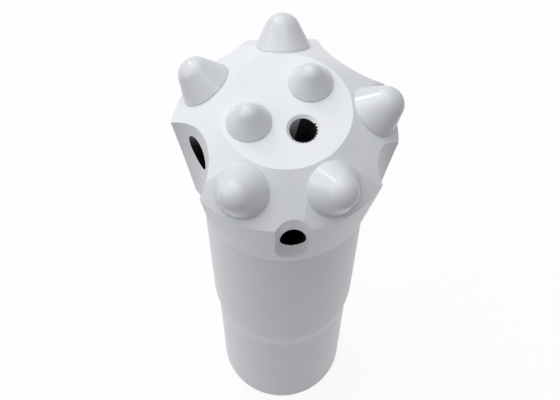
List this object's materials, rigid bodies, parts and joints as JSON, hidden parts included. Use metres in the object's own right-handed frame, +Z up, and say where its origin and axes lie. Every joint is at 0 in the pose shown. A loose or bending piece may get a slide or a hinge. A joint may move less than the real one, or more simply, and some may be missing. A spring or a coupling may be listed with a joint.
{
  "type": "button drill bit",
  "caption": "Threaded rock drill bit: stepped skirt, back-tapered fluted head, and domed carbide buttons round a flat face with flushing holes.",
  "frame": {"origin": "centre of the socket's mouth, on the bit's axis in the plane of the skirt's end", "axes": "+Z up the bit's axis from the skirt end to the cutting face; -Y is the front, where one side flushing hole opens in its groove"},
  "size_m": [0.0517, 0.0518, 0.1575],
  "materials": {
    "bit_body": "satin cool-white paint on milled alloy steel",
    "gauge_buttons": "gloss cool-white paint on tungsten carbide",
    "front_buttons": "gloss cool-white paint on tungsten carbide"
  },
  "bodies": {
    "root": {"bit_body": "bit_body", "gauge_button_1": "gauge_buttons", "gauge_button_2": "gauge_buttons", "gauge_button_3": "gauge_buttons", "gauge_button_4": "gauge_buttons", "gauge_button_5": "gauge_buttons", "front_button_1": "front_buttons", "front_button_2": "front_buttons"}
  },
  "joints": []
}
